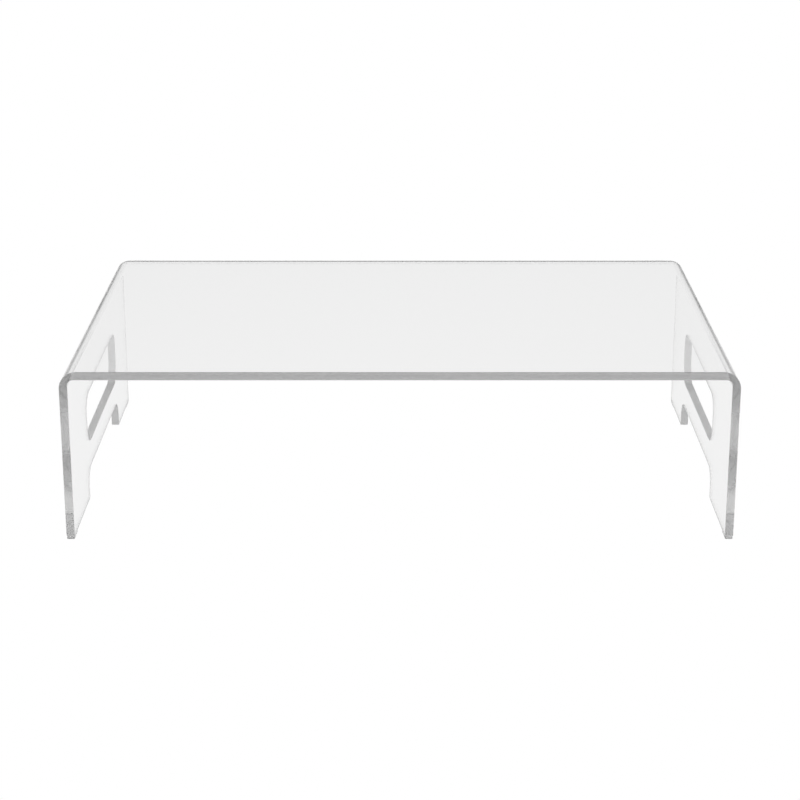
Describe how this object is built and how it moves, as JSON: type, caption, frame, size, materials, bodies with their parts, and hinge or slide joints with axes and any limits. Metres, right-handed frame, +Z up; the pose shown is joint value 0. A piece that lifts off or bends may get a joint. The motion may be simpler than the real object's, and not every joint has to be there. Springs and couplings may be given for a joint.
{
  "type": "monitor riser stand",
  "caption": "Clear acrylic monitor riser: a bent sheet shelf with a grip slot and a cable notch in each leg, on small clear foot pads.",
  "frame": {"origin": "on the desk, under the middle of the riser", "axes": "+X to the right along the width, +Y from the front edge to the rear edge, +Z up; the legs stand at -X and +X"},
  "size_m": [0.4, 0.24, 0.106],
  "materials": {
    "clear_acrylic": "gloss",
    "clear_silicone": "satin"
  },
  "bodies": {
    "root": {"bent_acrylic_sheet": "clear_acrylic", "foot_pad_front_left": "clear_silicone", "foot_pad_front_right": "clear_silicone", "foot_pad_rear_left": "clear_silicone", "foot_pad_rear_right": "clear_silicone"}
  },
  "joints": []
}
